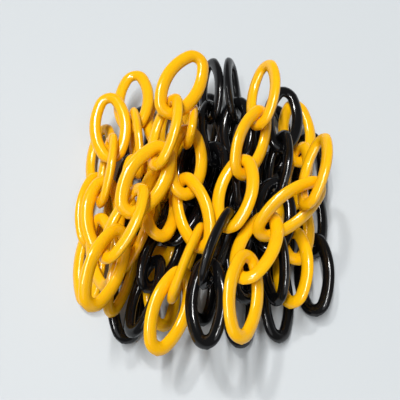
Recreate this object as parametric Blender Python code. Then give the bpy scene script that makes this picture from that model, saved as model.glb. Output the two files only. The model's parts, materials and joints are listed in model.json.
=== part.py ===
"""Heap of yellow and black plastic chain, made link by link.

Lengths are worked out in millimetres and turned into metres when the objects are made.  +Z is up, the
heap stands on z = 0 and the origin is under its middle.  +Y runs away from the viewer.

The chain lies in strands.  The lowest strands lie straight on the ground, and in each of them the links
are joined at their hooks into one solid.  The strands above are laid one after another: each link is a
solid of its own, brought to rest on what lies below it and parted from every wire that it touches.
"""

import math

import bpy
import numpy as np
from mathutils import Matrix

# One chain link, in millimetres.  The section of its wire is an oval, wide way in the plane of the link.
LINK_LENGTH = 62.0
LINK_WIDTH = 34.0
WIRE_WIDTH = 9.2
WIRE_THICKNESS = 6.6
END_RADIUS = 7.5

# How the solids are faceted: steps in an end arc, steps in a side arc, sides of the wire's section.
# The lower links have a middle step on their sides, so that a flat of it lies on the ground.
LINK_STEPS = (5, 4, 8)
LOWER_STEPS = (5, 3, 8)

# Gap between the wires of two links that touch, at rest and while the heap is laid, in millimetres
GAP = 0.35
LAYING_GAP = 0.5

# How far the joined links of a lower strand run into each other at a hook, in millimetres
OVERLAP = 1.5

# How a strand is laid: points followed on each centre line, rounds in which its own links are parted,
# and rounds in which it comes down with its fall in each, in millimetres
LINE_POINTS = 32
PARTING_ROUNDS = 80
LOWERING_ROUNDS = 120
LOWERING_FALL = 0.2

# How the heap settles once every strand is laid
SETTLING = [
    {"gap": LAYING_GAP, "rounds": 300, "gain": 1.4, "fall": 0.12, "hold": 0.5, "fade": True},
    {"gap": LAYING_GAP, "rounds": 50, "gain": 1.4, "hold": 0.5, "lift": 0.0015},
    {"gap": GAP + 0.1, "rounds": 300, "gain": 1.4, "fall": 0.09, "hold": 0.5, "fade": True},
    {"gap": GAP, "rounds": 200, "gain": 1.4},
]

# The centre line of a link: two tight end arcs and two wide side arcs
HALF_LENGTH = (LINK_LENGTH - WIRE_WIDTH) / 2
HALF_WIDTH = (LINK_WIDTH - WIRE_WIDTH) / 2
END_CENTRE = HALF_LENGTH - END_RADIUS
SIDE_RADIUS = (END_CENTRE**2 + HALF_WIDTH**2 - END_RADIUS**2) / (2 * (HALF_WIDTH - END_RADIUS))
END_ANGLE = math.atan2(SIDE_RADIUS - HALF_WIDTH, END_CENTRE)
QUARTER = END_RADIUS * END_ANGLE + SIDE_RADIUS * (math.pi / 2 - END_ANGLE)

# The lower links are rolled so far that a slanting flat of the wire's section lies on the ground, and
# the wire's centre line is then this high above the ground
LOWER_ROLL = math.atan2(WIRE_THICKNESS, WIRE_WIDTH)
SLANTING_REACH = WIRE_WIDTH * WIRE_THICKNESS / math.hypot(WIRE_WIDTH, WIRE_THICKNESS) / math.sqrt(2)
SEAT = SLANTING_REACH * math.cos(math.pi / LOWER_STEPS[2])

METRE = 0.001

# The shortest rotation vector that counts as a turn, in radians
SMALLEST_TURN = 1e-12

COLOURS = {
    "yellow": (0.96, 0.52, 0.012),
    "black": (0.012, 0.012, 0.014),
}
ROUGHNESS = 0.22

YELLOW, BLACK = COLOURS

# The lowest strands: colour, first joint, and the heading of each link in degrees
LOWER_STRANDS = [
    (YELLOW, (-86, 79), (-90, -94, -89)),
    (BLACK, (-56, 97), (-91, -94, -90, -88)),
    (YELLOW, (-28, 106), (-92, -95, -91, -88)),
    (BLACK, (0, 110), (-91, -94, -92, -89)),
    (BLACK, (28, 94), (-92, -93, -91, -90)),
    (BLACK, (56, 98), (-91, -92, -92, -91)),
    (BLACK, (84, 72), (-90, -93, -92)),
]

# How firmly the links of a strand keep their place in plan while the heap settles
LOOSE, FAIR, FIRM = 0.03, 0.1, 0.25

# The strands above, in the order in which they are laid: where the strand lies, how firmly it keeps its
# place, the colour and the roll in degrees of each link, and the joints where links hook into each
# other, from the back to the front.  A positive roll lifts the right-hand wire.  A third number of a
# joint is its height above the other joints of the strand.
STRANDS = [
    ("left, under", FAIR, (YELLOW,) * 5, (-35, -62, 40, -50, 50),
     [(-60, 123), (-59, 80), (-52, 36), (-44, -4), (-56, -35), (-63, -64)]),
    ("left edge", LOOSE, (YELLOW,) * 4, (30, -70, 15, -60),
     [(-75, 91), (-72, 53), (-78, 16), (-78, -17), (-67, -43)]),
    ("middle, under", FAIR, (BLACK,) * 4, (50, -40, 30, -60),
     [(-5, 55), (-12, 21), (-25, -15), (-40, -49), (-47, -78)]),
    ("left of the middle, under", LOOSE, (YELLOW,) * 3, (35, -50, 40),
     [(-37, 100), (-30, 57), (-30, 18), (-36, -13)]),
    ("right edge", LOOSE, (YELLOW,) * 4, (75, -50, 35, -70),
     [(77, 97), (73, 52), (64, 9), (66, -26), (62, -58)]),
    ("middle of the back", FAIR, (BLACK,) * 3, (-70, 35, -50),
     [(3, 131), (5, 88), (4, 46), (5, 6)]),
    ("right of the middle, under", FAIR, (BLACK,) * 5, (70, -40, 50, -40, 50),
     [(21, 126), (22, 84), (22, 45), (23, 10), (24, -23), (26, -54)]),
    ("right, under", LOOSE, (BLACK,) * 4, (35, -50, 30, -60),
     [(64, 103), (59, 57), (50, 13), (46, -24), (47, -58)]),
    ("middle, on top", FIRM, (YELLOW,) * 5, (70, 56, -34, -78, 42),
     [(-11, 82, -34), (-13, 50), (-17, 8), (-5, -29), (-21, -63), (-30, -92)]),
    ("left, on top", FIRM, (YELLOW,) * 5, (19, -36, 26, -36, 50),
     [(-7, 105), (-27, 63), (-34, 24), (-50, -7), (-63, -39), (-72, -66)]),
    ("right of the middle, on top", FIRM, (YELLOW,) * 3 + (BLACK,) * 2, (-62, 38, -14, 78, -38),
     [(45, 106), (41, 64), (24, 22), (15, -20), (-1, -58), (-1, -90)]),
    ("right, on top", FIRM, (YELLOW,) * 4, (-66, 52, -20, 35),
     [(80, 34), (71, -1), (42, -20, -8), (26, -55), (21, -90)]),
]


def centre_line(count):
    """Evenly spaced points on a link's centre line, which lies in its XY plane, long axis along X.

    Each point comes with the direction of the line there and with its bend, which points to the middle
    of the arc and is as long as the curvature.
    """
    points, directions, bends = [], [], []
    for index in range(count):
        turn, along = divmod((index + 0.5) / count * 4 * QUARTER, QUARTER)
        if turn % 2:
            along = QUARTER - along
        if along < END_RADIUS * END_ANGLE:
            angle, radius, middle = along / END_RADIUS, END_RADIUS, (END_CENTRE, 0.0)
        else:
            angle = END_ANGLE + (along - END_RADIUS * END_ANGLE) / SIDE_RADIUS
            radius, middle = SIDE_RADIUS, (0.0, HALF_WIDTH - SIDE_RADIUS)
        mirror = np.array([1 if turn in (0, 3) else -1, 1 if turn in (0, 1) else -1, 0])
        outward = np.array([math.cos(angle), math.sin(angle), 0.0])
        points.append(mirror * (np.array([*middle, 0.0]) + radius * outward))
        directions.append(mirror * np.array([-outward[1], outward[0], 0.0]))
        bends.append(-mirror * outward / radius)
    return np.array(points), np.array(directions), np.array(bends)


def set_out(radius, step):
    """Radius on which the corners of a faceted arc stand, set out by half of what its chords cut in."""
    return radius * 2 / (1 + math.cos(step / 2))


def facet_corners(end_steps, side_steps):
    """Corners of the faceted centre line."""
    corners = []
    end_step = 2 * END_ANGLE / end_steps
    side_step = (math.pi - 2 * END_ANGLE) / side_steps
    end_radius = set_out(END_RADIUS, end_step)
    side_radius = set_out(SIDE_RADIUS, side_step)
    for side in (1, -1):
        for index in range(end_steps + 1):
            angle = -END_ANGLE + index * end_step
            x = END_CENTRE + end_radius * math.cos(angle)
            corners.append((side * x, side * end_radius * math.sin(angle)))
        for index in range(1, side_steps):
            angle = END_ANGLE + index * side_step
            y = side_radius * math.sin(angle) - (SIDE_RADIUS - HALF_WIDTH)
            corners.append((side * side_radius * math.cos(angle), side * y))
    return corners


def link_frame(ahead, roll):
    """Axes of a link as columns: its length, its width and the normal of its plane."""
    length = ahead / np.linalg.norm(ahead)
    side = np.array([-length[1], length[0], 0.0]) / math.hypot(length[0], length[1])
    width = math.cos(roll) * side - math.sin(roll) * np.cross(length, side)
    return np.column_stack([length, width, np.cross(length, width)])


def small_turns(vectors):
    """Rotation matrices for an array of rotation vectors."""
    angles = np.maximum(np.linalg.norm(vectors, axis=1), SMALLEST_TURN)
    x, y, z = (vectors / angles[:, None]).T
    cross = np.zeros((len(vectors), 3, 3))
    cross[:, 0, 1], cross[:, 0, 2], cross[:, 1, 2] = -z, y, -x
    cross[:, 1, 0], cross[:, 2, 0], cross[:, 2, 1] = z, -y, x
    sine, cosine = np.sin(angles)[:, None, None], np.cos(angles)[:, None, None]
    return np.eye(3) + sine * cross + (1 - cosine) * (cross @ cross)


def turn_between(frames, aims):
    """Rotation vectors, good for small angles, that turn frames towards aims."""
    between = aims @ frames.transpose(0, 2, 1)
    x = between[:, 2, 1] - between[:, 1, 2]
    y = between[:, 0, 2] - between[:, 2, 0]
    z = between[:, 1, 0] - between[:, 0, 1]
    return np.column_stack([x, y, z]) / 2


class Heap:
    """Links as centres and frames, with the means to part them where their wires are too close."""

    # How much easier a link turns about its own axes than it shifts, per square millimetre
    TURNING = np.array([1 / 60.0, 1 / 330.0, 1 / 390.0])

    # How much farther than the widest gap the search for close points looks, in millimetres
    SEARCH = 4.0

    # The most that a link shifts in a round, in millimetres, and turns, in radians
    STEP = 1.5
    TURN = 0.06

    # How many times faster a link falls while it touches nothing
    FREE_FALL = 4

    # Decimals kept of centres and frames, so that the heap comes out the same on every computer
    CENTRE_DECIMALS = 6
    FRAME_DECIMALS = 9

    # Guards: against division by nothing, and against wires that run nearly side by side
    TINY = 1e-9
    SIDE_BY_SIDE = 0.05

    def __init__(self):
        self.centres = np.zeros((0, 3))
        self.frames = np.zeros((0, 3, 3))
        self.loose = np.zeros(0, bool)
        self.places = np.zeros((0, 3))
        self.aims = np.zeros((0, 3, 3))
        self.holds = np.zeros(0)
        self.colours = []
        self.strands = []

    def add(self, name, centres, frames, colours, hold):
        """Adds a strand's links.  hold is how firmly they keep their place in plan, and 1 fixes them."""
        self.centres = np.concatenate([self.centres, centres])
        self.frames = np.concatenate([self.frames, frames])
        self.places = np.concatenate([self.places, centres])
        self.aims = np.concatenate([self.aims, frames])
        self.holds = np.concatenate([self.holds, np.full(len(centres), hold)])
        self.loose = self.holds < 1
        self.colours += list(colours)
        self.strands += [name] * len(centres)

    def points(self, outline):
        return self.centres[:, None] + outline @ self.frames.transpose(0, 2, 1)

    def half_wire(self, links, directions):
        """How far the wires of these links reach from their centre lines in these directions."""
        across = (self.frames[links, :, 2] * directions).sum(1)
        return np.sqrt(WIRE_WIDTH**2 + (WIRE_THICKNESS**2 - WIRE_WIDTH**2) * across**2) / 2

    def nearest(self, line, pairs, reach):
        """Nearest points of two wires round each pair of points that is near enough, and their links.

        Each wire is followed from its point along an arc for up to half of the spacing of the points.
        """
        half = 2 * QUARTER / len(line[0])
        turned = self.frames.transpose(0, 2, 1)
        points = self.points(line[0])
        apart = points[pairs[0], pairs[1]] - points[pairs[2], pairs[3]]
        near = np.nonzero((apart**2).sum(1) < reach**2 + 4 * half**2)[0]
        link_a, point_a, link_b, point_b = (index[near] for index in pairs)
        directions, bends = line[1] @ turned, line[2] @ turned
        along_a, along_b = directions[link_a, point_a], directions[link_b, point_b]
        ahead_a = (apart[near] * along_a).sum(1)
        ahead_b = (apart[near] * along_b).sum(1)
        aligned = (along_a * along_b).sum(1)
        reach_a = (aligned * ahead_b - ahead_a) / np.maximum(1 - aligned**2, self.SIDE_BY_SIDE)
        reach_b = np.clip(ahead_b + aligned * np.clip(reach_a, -half, half), -half, half)[:, None]
        reach_a = np.clip(aligned * reach_b[:, 0] - ahead_a, -half, half)[:, None]
        a = points[link_a, point_a] + reach_a * along_a + reach_a**2 / 2 * bends[link_a, point_a]
        b = points[link_b, point_b] + reach_b * along_b + reach_b**2 / 2 * bends[link_b, point_b]
        return a, b, link_a, link_b

    def close_points(self, outline, reach):
        """Index arrays (link, point, link, point) of the point pairs that could come within reach."""
        points = self.points(outline)
        span = LINK_LENGTH + self.SEARCH
        gaps = np.linalg.norm(self.centres[:, None] - self.centres[None], axis=-1)
        movable = self.loose[:, None] | self.loose[None]
        first, second = np.nonzero(np.triu((gaps < span) & movable, 1))
        a, b = points[first], points[second]
        squares = (a**2).sum(-1)[:, :, None] + (b**2).sum(-1)[:, None] - 2 * a @ b.transpose(0, 2, 1)
        pair, i, j = np.nonzero(squares < (reach + self.SEARCH) ** 2)
        return first[pair], i, second[pair], j

    def touches(self, line, pairs, gap):
        """Where wires are too close to each other or to the ground.

        Gives four arrays: the link that is pushed, the direction of the push, its place, and how much is
        missing.  The touches of two wires come first, once for each of the two links, and then those with
        the ground.  The fifth value is the number of touches of two wires.
        """
        a, b, link_a, link_b = self.nearest(line, pairs, WIRE_WIDTH + gap)
        distance = np.linalg.norm(a - b, axis=1)
        normal = (a - b) / np.maximum(distance, self.TINY)[:, None]
        missing = self.half_wire(link_a, normal) + self.half_wire(link_b, normal) + gap - distance
        close = missing > 0
        normal, missing = normal[close], missing[close]
        middle = (a + b)[close] / 2

        up = np.array([[0.0, 0.0, 1.0]])
        points = self.points(line[0])
        seats = self.half_wire(np.arange(len(self.centres)), up)
        low_link, low_point = np.nonzero(points[:, :, 2] < seats[:, None])
        ground = points[low_link, low_point]

        link = np.concatenate([link_a[close], link_b[close], low_link])
        push = np.concatenate([normal, -normal, np.repeat(up, len(ground), axis=0)])
        place = np.concatenate([middle, middle, ground])
        depth = np.concatenate([missing, missing, seats[low_link] - ground[:, 2]])
        return link, push, place, depth, len(missing)

    def moves(self, link, push, place, depth, wires):
        """Shift and turn that each link needs on the whole, and how strongly it is pushed.

        Deep touches count most.  A link gives way the more, the easier it turns under the push.
        """
        lever = np.cross(place - self.centres[link], push)
        lever = np.einsum("kij,ki->kj", self.frames[link], lever)
        ease = np.where(self.loose[link], 1 + (lever**2 * self.TURNING).sum(1), 0.0)
        both = ease.copy()
        both[:wires] += ease[wires:2 * wires]
        both[wires:2 * wires] += ease[:wires]
        amount = depth / np.maximum(both, self.TINY)
        weight = depth**2 + self.TINY
        turn = np.einsum("kij,kj->ki", self.frames[link], lever * self.TURNING)
        total = len(self.centres)
        weights = np.bincount(link, weight, total)
        scale = 1 / np.maximum(weights, self.TINY)
        shifts, turns = np.zeros((total, 3)), np.zeros((total, 3))
        for axis in range(3):
            shifts[:, axis] = np.bincount(link, weight * amount * push[:, axis], total) * scale
            turns[:, axis] = np.bincount(link, weight * amount * turn[:, axis], total) * scale
        return shifts, turns, weights

    def shortened(self, vectors, most):
        """What each vector has to be scaled by to be no longer than most."""
        lengths = np.linalg.norm(vectors, axis=1)
        return np.minimum(1, most / np.maximum(lengths, self.TINY))[:, None]

    def part(self, gap, rounds, gain=1.5, fall=0.0, hold=0.0, fade=False, lift=0.0):
        """Parts wires that have less than the gap between them.

        In every round each link also sinks by fall, which may fade to nothing, rises by lift times its
        height, and goes back towards its place in plan as far as hold and its own hold say.
        """
        line = centre_line(LINE_POINTS)
        travelled = self.SEARCH
        for step in range(rounds):
            if travelled * 2 >= self.SEARCH:
                pairs = self.close_points(line[0], WIRE_WIDTH + gap)
                travelled = 0.0
            shift, turn, weights = self.moves(*self.touches(line, pairs, gap))
            shift, turn = gain * shift, gain * turn
            sink = fall * (1 - step / rounds) if fade else fall
            shift[:, 2] -= np.where(weights > 0, sink, self.FREE_FALL * sink)
            shift[:, 2] += lift * self.centres[:, 2]
            keep = (hold * self.holds)[:, None]
            shift[:, :2] += keep * (self.places - self.centres)[:, :2]
            turn += keep * turn_between(self.frames, self.aims)
            shift *= self.shortened(shift, self.STEP)
            turn *= self.shortened(turn, self.TURN)
            shift[~self.loose] = 0
            turn[~self.loose] = 0
            self.centres = np.round(self.centres + shift, self.CENTRE_DECIMALS)
            self.frames = np.round(small_turns(turn) @ self.frames, self.FRAME_DECIMALS)
            reached = np.linalg.norm(shift, axis=1) + HALF_LENGTH * np.linalg.norm(turn, axis=1)
            travelled += reached.max()

    def top_near(self, centres):
        """Height of the highest wire that lies near any of the centres."""
        if not len(self.centres):
            return 0.0
        apart = np.linalg.norm(self.centres[:, None, :2] - centres[None, :, :2], axis=-1)
        near = apart.min(1) < LINK_LENGTH
        if not near.any():
            return 0.0
        return self.points(centre_line(LINE_POINTS)[0])[near][..., 2].max()


def lay_lower_strand(heap, name, colour, start, headings):
    """A straight strand on the ground whose links overlap a little at their hooks."""
    spacing = 2 * HALF_LENGTH - WIRE_WIDTH + OVERLAP
    middle_flat = max(y for x, y in facet_corners(*LOWER_STEPS[:2]))
    height = SEAT + middle_flat * math.sin(LOWER_ROLL)
    joint = np.array([*start, height], float)
    centres, frames = [], []
    for index, heading in enumerate(headings):
        angle = math.radians(heading)
        ahead = spacing * np.array([math.cos(angle), math.sin(angle), 0.0])
        centres.append(joint + ahead / 2)
        frames.append(link_frame(ahead, LOWER_ROLL if index % 2 else -LOWER_ROLL))
        joint = joint + ahead
    heap.add(name, np.array(centres), np.array(frames), [colour] * len(headings), 1.0)


def lay_strand(heap, name, colours, joints, rolls, hold):
    """A strand of separate links, started clear above the heap and let down on it."""
    joints = np.array([(*joint, 0.0)[:3] for joint in joints], float)
    centres = (joints[:-1] + joints[1:]) / 2
    aheads = np.diff(joints, axis=0)
    frames = [link_frame(ahead, math.radians(roll)) for ahead, roll in zip(aheads, rolls)]
    centres[:, 2] += heap.top_near(centres) + WIRE_WIDTH + HALF_WIDTH
    alone = Heap()
    alone.add(name, centres, np.array(frames), colours, hold)
    alone.part(LAYING_GAP, PARTING_ROUNDS, gain=1.0)
    heap.add(name, alone.centres, alone.frames, colours, hold)
    heap.part(LAYING_GAP, LOWERING_ROUNDS, fall=LOWERING_FALL, hold=1.0)


def lay_heap():
    heap = Heap()
    for index, (colour, start, headings) in enumerate(LOWER_STRANDS):
        lay_lower_strand(heap, f"lower_strand_{index + 1}", colour, start, headings)
    for name, hold, colours, rolls, joints in STRANDS:
        lay_strand(heap, name, colours, joints, rolls, hold)
    for stage in SETTLING:
        heap.part(**stage)
    return heap


# Making the objects
def plastic(name):
    material = bpy.data.materials.new(f"{name}_plastic")
    material.use_nodes = True
    shader = material.node_tree.nodes["Principled BSDF"]
    shader.inputs["Base Color"].default_value = (*COLOURS[name], 1.0)
    shader.inputs["Roughness"].default_value = ROUGHNESS
    shader.inputs["Metallic"].default_value = 0.0
    material.diffuse_color = (*COLOURS[name], 1.0)
    return material


def link_mesh(name, steps, material):
    """The faceted link as a mesh: a round wire swept round the centre line and then flattened."""
    corners = facet_corners(*steps[:2])
    section_sides = steps[2]
    curve = bpy.data.curves.new(name, "CURVE")
    curve.dimensions = "3D"
    curve.bevel_depth = WIRE_WIDTH / 2 * METRE
    curve.bevel_resolution = section_sides // 2 - 2
    spline = curve.splines.new("POLY")
    spline.points.add(len(corners) - 1)
    for point, (x, y) in zip(spline.points, corners):
        point.co = (x * METRE, y * METRE, 0.0, 1.0)
        point.tilt = math.pi / section_sides
    spline.use_cyclic_u = True
    guide = bpy.data.objects.new(name, curve)
    bpy.context.scene.collection.objects.link(guide)
    evaluated = guide.evaluated_get(bpy.context.evaluated_depsgraph_get())
    mesh = bpy.data.meshes.new_from_object(evaluated)
    bpy.data.objects.remove(guide)
    mesh.transform(Matrix.Diagonal((1.0, 1.0, WIRE_THICKNESS / WIRE_WIDTH, 1.0)))
    mesh.name = name
    mesh.materials.clear()
    mesh.materials.append(material)
    mesh.shade_smooth()
    return mesh


def place(name, mesh, centre, frame, collection):
    link = bpy.data.objects.new(name, mesh)
    matrix = Matrix(frame.tolist()).to_4x4()
    matrix.translation = centre * METRE
    link.matrix_world = matrix
    collection.objects.link(link)
    return link


def join_strand(name, links, joiners):
    """Turns a strand's links into one solid with a Boolean union on the first of them."""
    body = links[0]
    body.name = name
    body.data = body.data.copy()
    for link in links[1:]:
        joiners.objects.link(link)
        link.users_collection[0].objects.unlink(link)
        link.hide_render = True
        link.display_type = "WIRE"
        union = body.modifiers.new(link.name, "BOOLEAN")
        union.operation = "UNION"
        union.solver = "EXACT"
        union.object = link


def origin_of(heap, meshes, lower):
    """The middle of the underside of the heap's box, in millimetres."""
    corners = []
    for strand, colour, centre, frame in zip(heap.strands, heap.colours, heap.centres, heap.frames):
        mesh = (lower if strand.startswith("lower") else meshes)[colour]
        points = np.array([vertex.co for vertex in mesh.vertices]) / METRE
        corners.append(centre + points @ frame.T)
    low = np.concatenate(corners).min(0)
    high = np.concatenate(corners).max(0)
    return np.array([(low[0] + high[0]) / 2, (low[1] + high[1]) / 2, low[2]])


def main():
    for item in list(bpy.data.objects):
        bpy.data.objects.remove(item)
    scene = bpy.context.scene.collection
    parts = bpy.data.collections.new("plastic_chain_heap")
    joiners = bpy.data.collections.new("lower_strand_links")
    scene.children.link(parts)
    scene.children.link(joiners)

    heap = lay_heap()
    materials = {name: plastic(name) for name in COLOURS}
    meshes = {name: link_mesh(f"{name}_link", LINK_STEPS, materials[name]) for name in COLOURS}
    lower = {name: link_mesh(f"{name}_lower_link", LOWER_STEPS, materials[name]) for name in COLOURS}
    heap.centres -= origin_of(heap, meshes, lower)

    count = {name: 0 for name in COLOURS}
    lower_links = {}
    for strand, colour, centre, frame in zip(heap.strands, heap.colours, heap.centres, heap.frames):
        if strand.startswith("lower"):
            links = lower_links.setdefault(strand, [])
            links.append(place(f"{strand}_link_{len(links) + 1}", lower[colour], centre, frame, parts))
        else:
            count[colour] += 1
            place(f"{colour}_link_{count[colour]:02d}", meshes[colour], centre, frame, parts)
    for strand, links in lower_links.items():
        join_strand(strand, links, joiners)


main()
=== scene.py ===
"""The looks of a heap of yellow and black plastic chain: links, glossy plastics, floor, lamps and camera.

Lengths are in metres and the frame is the solids': +Z up, +Y away from the viewer, the heap on z = 0.
Each solid link is replaced by a finely made one in the same place.  The joined links of the lowest strands
are replaced by separate ones, which are a little longer and narrower and lie a little lower.
"""

import json
import math

import bpy
import numpy as np
from mathutils import Matrix, Vector


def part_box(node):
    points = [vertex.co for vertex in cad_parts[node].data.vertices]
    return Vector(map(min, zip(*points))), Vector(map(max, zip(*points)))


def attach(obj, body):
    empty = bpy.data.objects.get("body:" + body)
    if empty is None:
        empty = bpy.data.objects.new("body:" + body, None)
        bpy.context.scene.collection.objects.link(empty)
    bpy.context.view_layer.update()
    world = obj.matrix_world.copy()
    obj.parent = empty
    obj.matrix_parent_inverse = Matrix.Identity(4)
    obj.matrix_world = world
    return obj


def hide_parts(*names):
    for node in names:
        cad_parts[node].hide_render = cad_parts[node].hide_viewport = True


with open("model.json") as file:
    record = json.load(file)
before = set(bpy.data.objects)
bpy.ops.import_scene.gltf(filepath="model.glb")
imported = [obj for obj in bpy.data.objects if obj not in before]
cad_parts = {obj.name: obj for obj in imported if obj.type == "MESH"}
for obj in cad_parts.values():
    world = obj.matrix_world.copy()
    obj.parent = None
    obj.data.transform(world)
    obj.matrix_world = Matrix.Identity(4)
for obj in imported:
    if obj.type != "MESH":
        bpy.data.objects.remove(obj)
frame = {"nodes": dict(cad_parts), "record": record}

MM = 0.001

# One chain link.  The section of its wire is an oval, wide way in the plane of the link.
LINK_LENGTH = 62.0 * MM
LINK_WIDTH = 34.0 * MM
WIRE_WIDTH = 9.2 * MM
WIRE_THICKNESS = 6.6 * MM

# The centre line of the wire: from the link's middle to the line's end and side, and the radius of its ends
HALF_LENGTH = (LINK_LENGTH - WIRE_WIDTH) / 2
HALF_WIDTH = (LINK_WIDTH - WIRE_WIDTH) / 2
END_RADIUS = 7.5 * MM

# The parting line stands proud round the link, in its middle plane
SEAM_HEIGHT = 0.09 * MM
SEAM_ANGLE = math.radians(4.0)

# A small stub is left at each end where the plastic came into the mould.  The offsets, in pairs, are how far
# the two stubs of a link lie from the middle of its ends, so that not all links are alike.
GATE_HEIGHT = 0.35 * MM
GATE_RADIUS = 0.75 * MM
GATE_STEEPNESS = 1.5
GATE_OFFSETS = ((1.6 * MM, -1.2 * MM), (-2.2 * MM, 0.8 * MM), (0.6 * MM, 2.4 * MM))

# The wire is slightly thicker and thinner in turn, this many times round the link.  Where it starts follows
# from the first gate's offset.
SWELL_HEIGHT = 0.05 * MM
SWELL_COUNT = 3

# How finely a link is made: steps round the link and round its wire, with closer ones at the parting line,
# in seam angles from it, and at the gate marks, in millimetres from them
LINE_STEPS = 96
SECTION_STEPS = 24
SEAM_STEPS = (0.25, 0.55, 1.0, 1.8)
GATE_STEPS = (0.3, 0.7, 1.1, 1.6, 2.3)

# The corners of a solid link are compared to this many decimals of a metre
CORNER_DECIMALS = 6

# The lowest strands, as the solids have them: first joint in millimetres and each link's heading in degrees.
# The links roll to one side and the other in turn, and run into each other at their hooks.
LOWER_STRANDS = {
    "lower_strand_1": ((-86, 79), (-90, -94, -89)),
    "lower_strand_2": ((-56, 97), (-91, -94, -90, -88)),
    "lower_strand_3": ((-28, 106), (-92, -95, -91, -88)),
    "lower_strand_4": ((0, 110), (-91, -94, -92, -89)),
    "lower_strand_5": ((28, 94), (-92, -93, -91, -90)),
    "lower_strand_6": ((56, 98), (-91, -92, -92, -91)),
    "lower_strand_7": ((84, 72), (-90, -93, -92)),
}
LOWER_ROLL = math.atan2(WIRE_THICKNESS, WIRE_WIDTH)
LOWER_OVERLAP = 1.5 * MM

# Points on a quarter of a centre line, from which the middle of a strand's box is found
QUARTER_POINTS = 16

# How much longer the separate links of the lowest strands are, besides the solids' overlap, so that
# their tight hooks clear each other
HOOK_SLACK = 1.6 * MM

# How far their sides are moved in, and how much lower they lie, so that they also clear the links that lie
# on them
LOWER_NARROWING = 0.5 * MM
LOWER_DROP = 0.45 * MM

# The plastics: two ends of the colour, two ends of the roughness, the strength of the reflections, and the
# share of the light that goes in and scatters
YELLOW = ((0.845, 0.428, 0.002, 1.0), (0.875, 0.458, 0.003, 1.0))
YELLOW_ROUGHNESS = (0.12, 0.17)
YELLOW_REFLECTION = 0.5
YELLOW_SCATTER = 0.10
BLACK = ((0.002, 0.002, 0.0025, 1.0), (0.004, 0.004, 0.0045, 1.0))
BLACK_ROUGHNESS = (0.10, 0.15)
BLACK_REFLECTION = 0.44
BLACK_SCATTER = 0.0
PLASTIC_IOR = 1.5

# How deep the light goes in, and how far its red, green and blue go compared with that
SCATTER_DEPTH = 1.5 * MM
SCATTER_RADIUS = (1.0, 0.35, 0.05)

# The patterns on the plastics: scale, detail, roughness and distortion of each noise, the part of its range
# that the colour and the roughness use, and the heights of the bumps
FLOW_NOISE = (55.0, 3.0, 0.55, 0.8)
HAZE_NOISE = (320.0, 4.0, 0.6, 0.0)
WAVE_NOISE = (130.0, 1.5, 0.5, 0.0)
GRAIN_NOISE = (1500.0, 2.0, 0.5, 0.0)
NOISE_RANGE = (0.3, 0.7)
WAVE_HEIGHT = 0.05 * MM
GRAIN_HEIGHT = 0.008 * MM

# The floor, a round one, this far below the solids' ground so that it clears the lowest links
FLOOR_GREY = (0.51, 0.54, 0.56, 1.0)
FLOOR_ROUGHNESS = 0.6
FLOOR_DROP = 0.8 * MM
FLOOR_RADIUS = 10.0
FLOOR_CORNERS = 64

# The far lamps: direction from the heap, width in degrees, strength and colour
KEY_LAMP = ((-0.30, 0.38, 0.88), 3.8, 0.85, (1.0, 0.99, 0.97))
FRONT_LAMP = ((-0.26, -0.27, 0.96), 6.2, 0.54, (1.0, 1.0, 1.0))
FILL_LAMP = ((0.10, -0.45, 1.0), 46.4, 0.422, (0.97, 0.98, 1.0))

# The long narrow lamp, far off so that it too lights the floor evenly, in metres and watts
STRIP_DIRECTION = (-0.16, 0.12, 1.0)
STRIP_DISTANCE = 22.0
STRIP_WIDTH = 0.9
STRIP_LENGTH = 14.0
STRIP_POWER = 3800.0

# The backdrop: its colours at the horizon and overhead, and the height, as the sine of the angle above the
# horizon, from which it is as dark as overhead
BACKDROP_PALE = (0.70, 0.73, 0.75, 1.0)
BACKDROP_DARK = (0.13, 0.129, 0.126, 1.0)
BACKDROP_TOP = 0.25

# The photograph's view, in the frame in which the strands' joints are given, and its scale at the aim
CAMERA_AIM = (-5.0 * MM, 4.3 * MM, 45.0 * MM)
CAMERA_ELEVATION = math.radians(66.0)
CAMERA_DISTANCE = 430.0 * MM
PIXELS_PER_MM = 1.37
PHOTO_WIDTH = 400
SENSOR_WIDTH = 36.0


class Oval:
    """A link's centre line: two tight end arcs and two wide side arcs, long axis along X."""

    def __init__(self, half_length, half_width):
        self.end_centre = half_length - END_RADIUS
        reach = self.end_centre**2 + half_width**2 - END_RADIUS**2
        self.side_radius = reach / (2 * (half_width - END_RADIUS))
        self.side_centre = half_width - self.side_radius
        self.end_angle = math.atan2(-self.side_centre, self.end_centre)
        self.quarter = END_RADIUS * self.end_angle + self.side_radius * (math.pi / 2 - self.end_angle)
        self.length = 4 * self.quarter

    def point(self, distance):
        """Point at this distance from the +X end, and the outward direction there."""
        turn, along = divmod(distance % self.length, self.quarter)
        if turn % 2:
            along = self.quarter - along
        if along < END_RADIUS * self.end_angle:
            angle, radius, middle = along / END_RADIUS, END_RADIUS, (self.end_centre, 0.0)
        else:
            angle = self.end_angle + (along - END_RADIUS * self.end_angle) / self.side_radius
            radius, middle = self.side_radius, (0.0, self.side_centre)
        mirror = np.array([1 if turn in (0, 3) else -1, 1 if turn in (0, 1) else -1])
        outward = np.array([math.cos(angle), math.sin(angle)])
        return mirror * (np.array(middle) + radius * outward), mirror * outward


def apart(place, other, round_length):
    """The shorter way round between two places on a closed line of this length."""
    return abs((place - other + round_length / 2) % round_length - round_length / 2)


def section_angles():
    """Angles round the wire, closer together at the parting line on the outer and the inner side."""
    turn = 2 * math.pi
    angles = set(np.arange(SECTION_STEPS) * turn / SECTION_STEPS)
    for side in (0.0, math.pi):
        for step in SEAM_STEPS:
            angles.add((side + step * SEAM_ANGLE) % turn)
            angles.add((side - step * SEAM_ANGLE) % turn)
    return np.array(sorted(angles))


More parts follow.
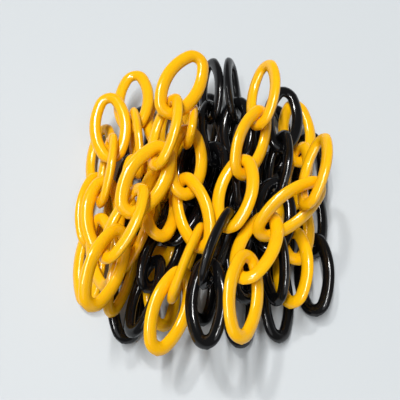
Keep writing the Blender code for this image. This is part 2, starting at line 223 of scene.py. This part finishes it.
def line_distances(length, gates):
    """Distances along the centre line, closer together at the gate marks."""
    distances = set(np.arange(LINE_STEPS) * length / LINE_STEPS)
    for gate in gates:
        distances = {place for place in distances if apart(place, gate, length) > GATE_STEPS[-1] * MM}
        distances.add(gate % length)
        for step in GATE_STEPS:
            distances.add((gate + step * MM) % length)
            distances.add((gate - step * MM) % length)
    return np.array(sorted(distances))


def relief(place, length, angles, gates, phase):
    """How far the plastic stands proud round one section: the parting line, the swell and the gate marks."""
    height = SEAM_HEIGHT * np.exp(-(apart(angles, 0.0, math.pi) / SEAM_ANGLE) ** 2)
    height = height + SWELL_HEIGHT * math.sin(SWELL_COUNT * 2 * math.pi * place / length + phase)
    around = apart(angles, 0.0, 2 * math.pi) * WIRE_THICKNESS / 2
    for gate in gates:
        along = apart(place, gate, length)
        away = (along**2 + around**2) / GATE_RADIUS**2
        height = height + GATE_HEIGHT * np.exp(-(away**GATE_STEEPNESS))
    return height


def tube_faces(rows, columns):
    """Faces of a closed ring of tube whose corners come row by row, each row once round the wire."""
    row, column = np.divmod(np.arange(rows * columns), columns)
    here, ahead = row * columns, (row + 1) % rows * columns
    beside = (column + 1) % columns
    return np.column_stack([here + column, ahead + column, ahead + beside, here + beside])


def link_shape(half_length, half_width, gate_offsets):
    """Corners and faces of a moulded link: its oval wire, swept along its oval centre line."""
    oval = Oval(half_length, half_width)
    gates = [gate_offsets[0], 2 * oval.quarter + gate_offsets[1]]
    distances = line_distances(oval.length, gates)
    angles = section_angles()
    corners = []
    for place in distances:
        middle, outward = oval.point(place)
        raised = relief(place, oval.length, angles, gates, gate_offsets[0] / MM)
        across = (WIRE_WIDTH / 2 + raised) * np.cos(angles)
        height = (WIRE_THICKNESS / 2 + raised) * np.sin(angles)
        corners.append(np.column_stack([middle + across[:, None] * outward, height]))
    return np.concatenate(corners), tube_faces(len(distances), len(angles))


def link_frame(ahead, roll):
    """Axes of a link as columns: its length, its width and the normal of its plane."""
    length = ahead / np.linalg.norm(ahead)
    side = np.array([-length[1], length[0], 0.0]) / math.hypot(length[0], length[1])
    width = math.cos(roll) * side - math.sin(roll) * np.cross(length, side)
    return np.column_stack([length, width, np.cross(length, width)])


def pose_of_solid(solid):
    """Centre and axes of a solid link.  Its corners are as symmetrical as the link is."""
    corners = [vertex.co for vertex in solid.data.vertices]
    corners = np.unique(np.round(corners, CORNER_DECIMALS), axis=0)
    centre = corners.mean(0)
    _, axes = np.linalg.eigh(np.cov((corners - centre).T))
    length, width = axes[:, 2], axes[:, 1]
    length = -length if length[1] > 0 else length
    normal = np.cross(length, width)
    if normal[2] < 0:
        width, normal = -width, -normal
    return centre, np.column_stack([length, width, normal])


def lower_poses(name):
    """Centres and axes of the links that a joined strand stands for, and how far its solid was shifted.

    The links are laid from the strand's first joint, moved to where the solid lies, and dropped a little.
    """
    start, headings = LOWER_STRANDS[name]
    spacing = 2 * HALF_LENGTH - WIRE_WIDTH + LOWER_OVERLAP
    joint = np.array([*start, 0.0]) * MM
    poses = []
    for index, heading in enumerate(headings):
        angle = math.radians(heading)
        ahead = spacing * np.array([math.cos(angle), math.sin(angle), 0.0])
        poses.append((joint + ahead / 2, link_frame(ahead, LOWER_ROLL if index % 2 else -LOWER_ROLL)))
        joint = joint + ahead
    oval = Oval(HALF_LENGTH, HALF_WIDTH)
    places = [step * oval.quarter / QUARTER_POINTS for step in range(4 * QUARTER_POINTS)]
    line = np.array([(*oval.point(place)[0], 0.0) for place in places])
    points = np.concatenate([centre + line @ axes.T for centre, axes in poses])
    low, high = (np.array(corner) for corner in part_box(name))
    shift = (low + high) / 2 - (points.min(0) + points.max(0)) / 2
    drop = np.array([0.0, 0.0, LOWER_DROP])
    return [(centre + shift - drop, axes) for centre, axes in poses], shift


def place_link(name, shape, centre, axes, material):
    """A link as a mesh of its own, made where it lies."""
    corners, faces = shape
    mesh = bpy.data.meshes.new(name)
    mesh.from_pydata((centre + corners @ axes.T).tolist(), [], faces.tolist())
    mesh.materials.append(material)
    mesh.shade_smooth()
    link = bpy.data.objects.new(name, mesh)
    bpy.context.scene.collection.objects.link(link)
    return link


def new_material(name):
    """A new material, its node tree and its shader."""
    material = bpy.data.materials.new(name)
    material.use_nodes = True
    return material, material.node_tree, material.node_tree.nodes["Principled BSDF"]


def set_values(node, values):
    """Sets these sockets of a node."""
    for socket, value in values.items():
        node.inputs[socket].default_value = value


def add_noise(tree, position, settings):
    """A noise of this scale, detail, roughness and distortion."""
    node = tree.nodes.new("ShaderNodeTexNoise")
    set_values(node, dict(zip(("Scale", "Detail", "Roughness", "Distortion"), settings)))
    tree.links.new(position, node.inputs["Vector"])
    return node.outputs["Fac"]


def add_ramp(tree, value, ends, colours, interpolation):
    """A colour that goes from the first to the second while the value goes from one end to the other."""
    node = tree.nodes.new("ShaderNodeValToRGB")
    node.color_ramp.interpolation = interpolation
    for element, end, colour in zip(node.color_ramp.elements, ends, colours):
        element.position = end
        element.color = colour
    tree.links.new(value, node.inputs["Fac"])
    return node.outputs["Color"]


def add_bump(tree, position, settings, height, under=None):
    """A skin with bumps of this noise and height, on top of another skin if one is given."""
    node = tree.nodes.new("ShaderNodeBump")
    set_values(node, {"Strength": 1.0, "Distance": height})
    tree.links.new(add_noise(tree, position, settings), node.inputs["Height"])
    if under is not None:
        tree.links.new(under, node.inputs["Normal"])
    return node.outputs["Normal"]


def flow_marks(tree, position, colours):
    """The faint streaks in the colour that the plastic's flow into the mould leaves."""
    return add_ramp(tree, add_noise(tree, position, FLOW_NOISE), NOISE_RANGE, colours, "LINEAR")


def uneven_gloss(tree, position, roughness):
    """A roughness that varies a little over the surface."""
    node = tree.nodes.new("ShaderNodeMapRange")
    names = ("From Min", "From Max", "To Min", "To Max")
    set_values(node, dict(zip(names, (*NOISE_RANGE, *roughness))))
    tree.links.new(add_noise(tree, position, HAZE_NOISE), node.inputs["Value"])
    return node.outputs["Result"]


def wavy_skin(tree, position):
    """A slightly wavy skin with a very fine grain on it."""
    waves = add_bump(tree, position, WAVE_NOISE, WAVE_HEIGHT)
    return add_bump(tree, position, GRAIN_NOISE, GRAIN_HEIGHT, waves)


def plastic(name, colours, roughness, reflection, scatter):
    """Glossy moulded plastic: faint flow marks in its colour, uneven gloss and a slightly wavy skin."""
    material, tree, shader = new_material(name)
    set_values(shader, {
        "Metallic": 0.0,
        "IOR": PLASTIC_IOR,
        "Specular IOR Level": reflection,
        "Subsurface Weight": scatter,
        "Subsurface Radius": SCATTER_RADIUS,
        "Subsurface Scale": SCATTER_DEPTH,
    })
    position = tree.nodes.new("ShaderNodeNewGeometry").outputs["Position"]
    tree.links.new(flow_marks(tree, position, colours), shader.inputs["Base Color"])
    tree.links.new(uneven_gloss(tree, position, roughness), shader.inputs["Roughness"])
    tree.links.new(wavy_skin(tree, position), shader.inputs["Normal"])
    return material


def yellow_plastic():
    return plastic("yellow_plastic", YELLOW, YELLOW_ROUGHNESS, YELLOW_REFLECTION, YELLOW_SCATTER)


def black_plastic():
    return plastic("black_plastic", BLACK, BLACK_ROUGHNESS, BLACK_REFLECTION, BLACK_SCATTER)


def make_links():
    """A fine link for each solid one, and separate links for each joined strand.

    Returns how far the lowest strands were shifted, on average, from where their joints are given.
    """
    plastics = {"yellow_plastic": yellow_plastic(), "black_plastic": black_plastic()}
    stretched = HALF_LENGTH + (LOWER_OVERLAP + HOOK_SLACK) / 2
    narrowed = HALF_WIDTH - LOWER_NARROWING
    upper = [link_shape(HALF_LENGTH, HALF_WIDTH, offsets) for offsets in GATE_OFFSETS]
    lower = [link_shape(stretched, narrowed, offsets) for offsets in GATE_OFFSETS]
    shifts = []
    for count, part in enumerate(frame["record"]["subparts"]):
        node, slot = part["node"], part["material_slot"]
        if node in LOWER_STRANDS:
            poses, shift = lower_poses(node)
            shifts.append(shift)
            shapes = lower
        else:
            poses = [pose_of_solid(frame["nodes"][node])]
            shapes = upper
        for index, (centre, axes) in enumerate(poses):
            name = f"{node}_moulded_{index + 1}" if len(poses) > 1 else f"{node}_moulded"
            shape = shapes[(count + index) % len(shapes)]
            link = place_link(name, shape, centre, axes, plastics[slot])
            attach(link, "root")
            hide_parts(node)
    return np.mean(shifts, axis=0)


def make_floor():
    """A wide pale floor, just below the lowest wires."""
    material, _, shader = new_material("pale_floor")
    set_values(shader, {"Base Color": FLOOR_GREY, "Roughness": FLOOR_ROUGHNESS})
    place = (0.0, 0.0, -FLOOR_DROP)
    bpy.ops.mesh.primitive_circle_add(
        vertices=FLOOR_CORNERS, radius=FLOOR_RADIUS, fill_type="TRIFAN", location=place)
    floor = bpy.context.object
    floor.name = "floor"
    floor.data.materials.append(material)


def aim(thing, target):
    """Turns a lamp or a camera towards a place."""
    thing.rotation_euler = (target - thing.location).to_track_quat("-Z", "Y").to_euler()


def add_lamp(name, direction, width, strength, colour):
    """A lamp so far off that it lights the heap and the whole floor evenly."""
    data = bpy.data.lights.new(name, "SUN")
    data.angle = math.radians(width)
    data.energy = strength
    data.color = colour
    lamp = bpy.data.objects.new(name, data)
    lamp.location = Vector(direction)
    bpy.context.scene.collection.objects.link(lamp)
    aim(lamp, Vector((0.0, 0.0, 0.0)))


def add_strip(name, target):
    """A long narrow lamp over the heap, along Y, which draws long thin highlights along the wires."""
    data = bpy.data.lights.new(name, "AREA")
    data.shape = "RECTANGLE"
    data.size = STRIP_WIDTH
    data.size_y = STRIP_LENGTH
    data.energy = STRIP_POWER
    strip = bpy.data.objects.new(name, data)
    back = Vector(STRIP_DIRECTION).normalized()
    across = Vector((0.0, 1.0, 0.0)).cross(back).normalized()
    strip.location = target + back * STRIP_DISTANCE
    strip.rotation_euler = Matrix((across, back.cross(across), back)).transposed().to_euler()
    bpy.context.scene.collection.objects.link(strip)


def make_lamps(target):
    """A key lamp behind and to the left, a long narrow one overhead, a soft one in front and a wide fill."""
    add_lamp("key", *KEY_LAMP)
    add_strip("strip", target)
    add_lamp("front", *FRONT_LAMP)
    add_lamp("fill", *FILL_LAMP)


def make_backdrop():
    """The studio round the heap: as pale as the floor at the horizon, and darker overhead."""
    world = bpy.data.worlds.new("studio")
    world.use_nodes = True
    tree = world.node_tree
    direction = tree.nodes.new("ShaderNodeSeparateXYZ")
    tree.links.new(tree.nodes.new("ShaderNodeTexCoord").outputs["Generated"], direction.inputs["Vector"])
    ends, colours = (0.0, BACKDROP_TOP), (BACKDROP_PALE, BACKDROP_DARK)
    colour = add_ramp(tree, direction.outputs["Z"], ends, colours, "EASE")
    tree.links.new(colour, tree.nodes["Background"].inputs["Color"])
    bpy.context.scene.world = world


def make_camera(target):
    """The photograph's view: from the front, at a slant, with the heap at the photograph's scale."""
    data = bpy.data.cameras.new("photo_view")
    data.sensor_width = SENSOR_WIDTH
    data.lens = PIXELS_PER_MM * CAMERA_DISTANCE / MM / PHOTO_WIDTH * SENSOR_WIDTH
    camera = bpy.data.objects.new("photo_view", data)
    back = Vector((0.0, -math.cos(CAMERA_ELEVATION), math.sin(CAMERA_ELEVATION)))
    camera.location = target + back * CAMERA_DISTANCE
    bpy.context.scene.collection.objects.link(camera)
    aim(camera, target)
    bpy.context.scene.camera = camera


def clear_start_scene():
    """Removes what a new Blender file holds, where it is there."""
    for name in ("Cube", "Light", "Camera"):
        if name in bpy.data.objects:
            bpy.data.objects.remove(bpy.data.objects[name])


def main():
    """Makes the scene."""
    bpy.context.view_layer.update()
    clear_start_scene()
    shift = make_links()
    target = Vector(shift) + Vector(CAMERA_AIM)
    target.z = CAMERA_AIM[2]
    make_floor()
    make_lamps(target)
    make_backdrop()
    make_camera(target)
    bpy.context.scene.view_settings.view_transform = "Standard"


main()
